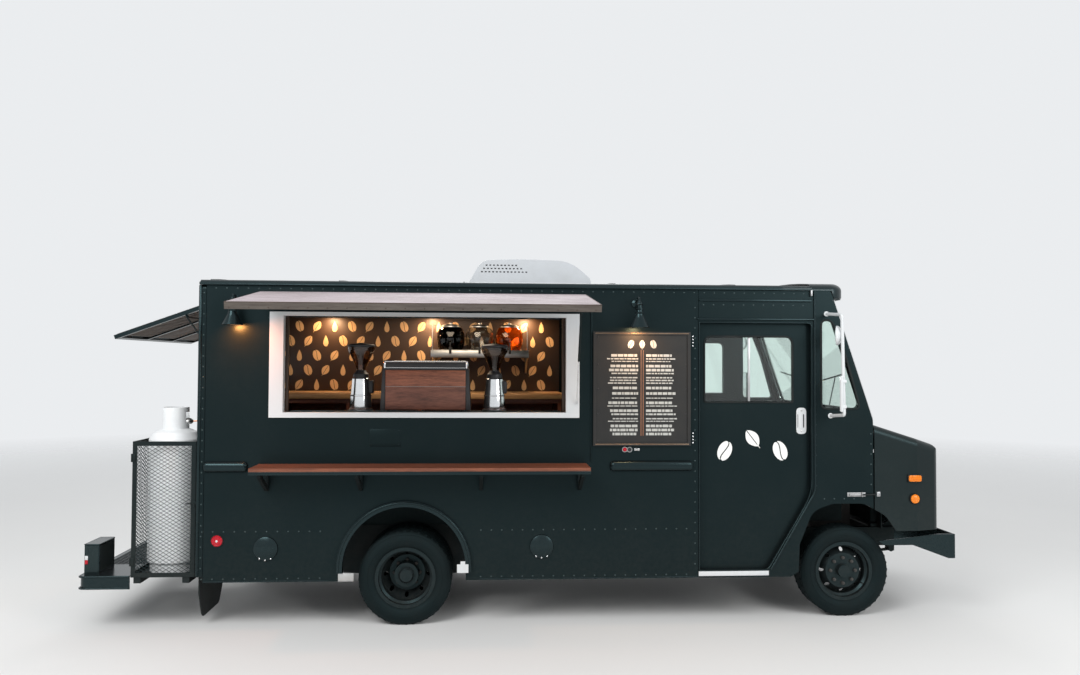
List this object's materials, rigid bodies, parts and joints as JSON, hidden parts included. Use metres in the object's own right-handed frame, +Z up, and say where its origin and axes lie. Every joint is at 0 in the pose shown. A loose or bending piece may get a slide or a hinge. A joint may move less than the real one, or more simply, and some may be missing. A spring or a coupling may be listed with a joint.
{
  "type": "food truck",
  "caption": "Walk-in step van with a serving window, fold-down awning, outside counter, sliding cab doors, tilting nose, rear flap and a gas cylinder in a cage.",
  "frame": {"origin": "on the ground, in the middle of the whole object's box", "axes": "+X forward along the truck, +Y to its left, +Z up; the serving window is on the -Y side"},
  "size_m": [6.548, 3.344, 2.8102],
  "materials": {
    "body_paint": "satin black body paint, slightly dusty",
    "chassis_paint": "dull black underbody paint with road dust",
    "wheel_paint": "satin black wheel paint",
    "tyre_rubber": "worn black tyre rubber",
    "black_rubber": "matte black rubber",
    "white_paint": "gloss white paint",
    "window_glass": "clear, faintly green glass",
    "red_wood": "stained reddish hardwood, satin",
    "weathered_boards": "weathered grey boards with brown edges",
    "brushed_steel": "brushed stainless steel",
    "bright_chrome": "polished chrome",
    "slate_board": "dark slate writing surface",
    "amber_lens": "amber lens",
    "red_lens": "red lens",
    "clear_lens": "clear lamp lens",
    "gloss_white": "white moulded shroud",
    "floor_plate": "aluminium tread plate",
    "seat_vinyl": "black seat vinyl",
    "dark_plastic": "dark moulded plastic",
    "engine_iron": "dark cast iron"
  },
  "bodies": {
    "truck": {"chassis_frame": "chassis_paint", "front_axle": "chassis_paint", "rear_axle": "chassis_paint", "engine_block": "engine_iron", "fuel_tank": "chassis_paint", "exhaust": "brushed_steel", "floor": "floor_plate", "floor_boxes": "chassis_paint", "side_wall_right": "body_paint", "side_wall_left": "body_paint", "rear_wall": "body_paint", "roof": "body_paint", "cab_side_right": "body_paint", "cab_side_left": "body_paint", "front_cap": "body_paint", "cowl": "body_paint", "cab_glass": "window_glass", "arch_flares": "body_paint", "window_frame": "white_paint", "serving_counter": "red_wood", "counter_brackets": "chassis_paint", "menu_board": "slate_board", "wall_lamps": "chassis_paint", "gas_cage": "chassis_paint", "gas_cylinder": "white_paint", "rear_bumper": "chassis_paint", "roof_ac": "gloss_white", "red_lamps": "red_lens", "mirrors": "white_paint", "front_bumper": "chassis_paint", "steering_wheel": "dark_plastic", "driver_seat": "seat_vinyl", "counters": "red_wood", "espresso_machine": "brushed_steel", "grinders": "bright_chrome", "drink_dispensers": "brushed_steel", "mud_flaps": "black_rubber"},
    "door_left": {"door_left": "body_paint", "door_glass_left": "window_glass"},
    "door_right": {"door_right": "body_paint", "door_glass_right": "window_glass"},
    "nose": {"nose": "body_paint", "headlamps": "clear_lens", "amber_lamps": "amber_lens"},
    "awning": {"awning": "weathered_boards"},
    "awning_stay_tube": {"awning_stay_tube": "chassis_paint"},
    "awning_stay_rod": {"awning_stay_rod": "bright_chrome"},
    "rear_flap": {"rear_flap": "weathered_boards"},
    "flap_stay": {"flap_stay": "chassis_paint"},
    "knuckle_left": {"knuckle_left": "chassis_paint"},
    "knuckle_right": {"knuckle_right": "chassis_paint"},
    "tie_rod": {"tie_rod": "chassis_paint"},
    "wheel_front_left": {"front_rim_left": "wheel_paint", "front_tyre_left": "tyre_rubber"},
    "wheel_front_right": {"front_rim_right": "wheel_paint", "front_tyre_right": "tyre_rubber"},
    "wheel_rear_left": {"rear_rims_left": "wheel_paint", "rear_tyres_left": "tyre_rubber"},
    "wheel_rear_right": {"rear_rims_right": "wheel_paint", "rear_tyres_right": "tyre_rubber"}
  },
  "joints": [
    {"name": "steer_left", "type": "hinge", "parent": "truck", "child": "knuckle_left", "pos_m": [2.45, 1.04797, 0.346], "axis": [0, 0, 1], "range_deg": [-32, 32]},
    {"name": "steer_right", "type": "hinge", "parent": "truck", "child": "knuckle_right", "pos_m": [2.45, -0.33203, 0.346], "axis": [0, 0, 1], "range_deg": [-32.5, 32.5]},
    {"name": "tie_rod_turn", "type": "hinge", "parent": "knuckle_left", "child": "tie_rod", "pos_m": [2.29, 1.04797, 0.25], "axis": [0, 0, 1], "range_deg": [-32.5, 32.5]},
    {"name": "spin_front_left", "type": "hinge", "parent": "knuckle_left", "child": "wheel_front_left", "pos_m": [2.45, 1.15797, 0.346], "axis": [0, 1, 0], "continuous": true},
    {"name": "spin_front_right", "type": "hinge", "parent": "knuckle_right", "child": "wheel_front_right", "pos_m": [2.45, -0.44203, 0.346], "axis": [0, 1, 0], "continuous": true},
    {"name": "spin_rear_left", "type": "hinge", "parent": "truck", "child": "wheel_rear_left", "pos_m": [-0.928, 1.23797, 0.346], "axis": [0, 1, 0], "continuous": true},
    {"name": "spin_rear_right", "type": "hinge", "parent": "truck", "child": "wheel_rear_right", "pos_m": [-0.928, -0.52203, 0.346], "axis": [0, 1, 0], "continuous": true},
    {"name": "slide_door_left", "type": "slide", "parent": "truck", "child": "door_left", "axis": [-1, 0, 0], "range_m": [0, 0.83]},
    {"name": "slide_door_right", "type": "slide", "parent": "truck", "child": "door_right", "axis": [-1, 0, 0], "range_m": [0, 0.83]},
    {"name": "tilt_nose", "type": "hinge", "parent": "truck", "child": "nose", "pos_m": [3.092, 0.35797, 0.655], "axis": [0, 1, 0], "range_deg": [0, 45]},
    {"name": "fold_awning", "type": "hinge", "parent": "truck", "child": "awning", "pos_m": [-0.791, -0.74203, 2.417], "axis": [1, 0, 0], "range_deg": [0, 81.5]},
    {"name": "turn_awning_stay", "type": "hinge", "parent": "awning", "child": "awning_stay_tube", "pos_m": [0.337, -1.03637, 2.35683], "axis": [1, 0, 0], "range_deg": [-110, 2]},
    {"name": "slide_awning_stay", "type": "slide", "parent": "awning_stay_tube", "child": "awning_stay_rod", "axis": [0, -0.4068, 0.9135], "range_m": [-0.005, 0.31]},
    {"name": "fold_flap", "type": "hinge", "parent": "truck", "child": "rear_flap", "pos_m": [-2.448, 0.35797, 2.35], "axis": [0, -1, 0], "range_deg": [0, 70]},
    {"name": "turn_flap_stay", "type": "hinge", "parent": "rear_flap", "child": "flap_stay", "pos_m": [-2.58417, 0.35797, 2.28554], "axis": [0, -1, 0], "range_deg": [-110, 2]}
  ],
  "couplings": [
    {"joint": "steer_right", "follows": "steer_left", "ratio": 1},
    {"joint": "tie_rod_turn", "follows": "steer_left", "ratio": -1},
    {"joint": "turn_awning_stay", "follows": "fold_awning", "ratio": -1.2946},
    {"joint": "slide_awning_stay", "follows": "fold_awning", "m_per_rad": 0.21499},
    {"joint": "turn_flap_stay", "follows": "fold_flap", "ratio": -1.501}
  ]
}
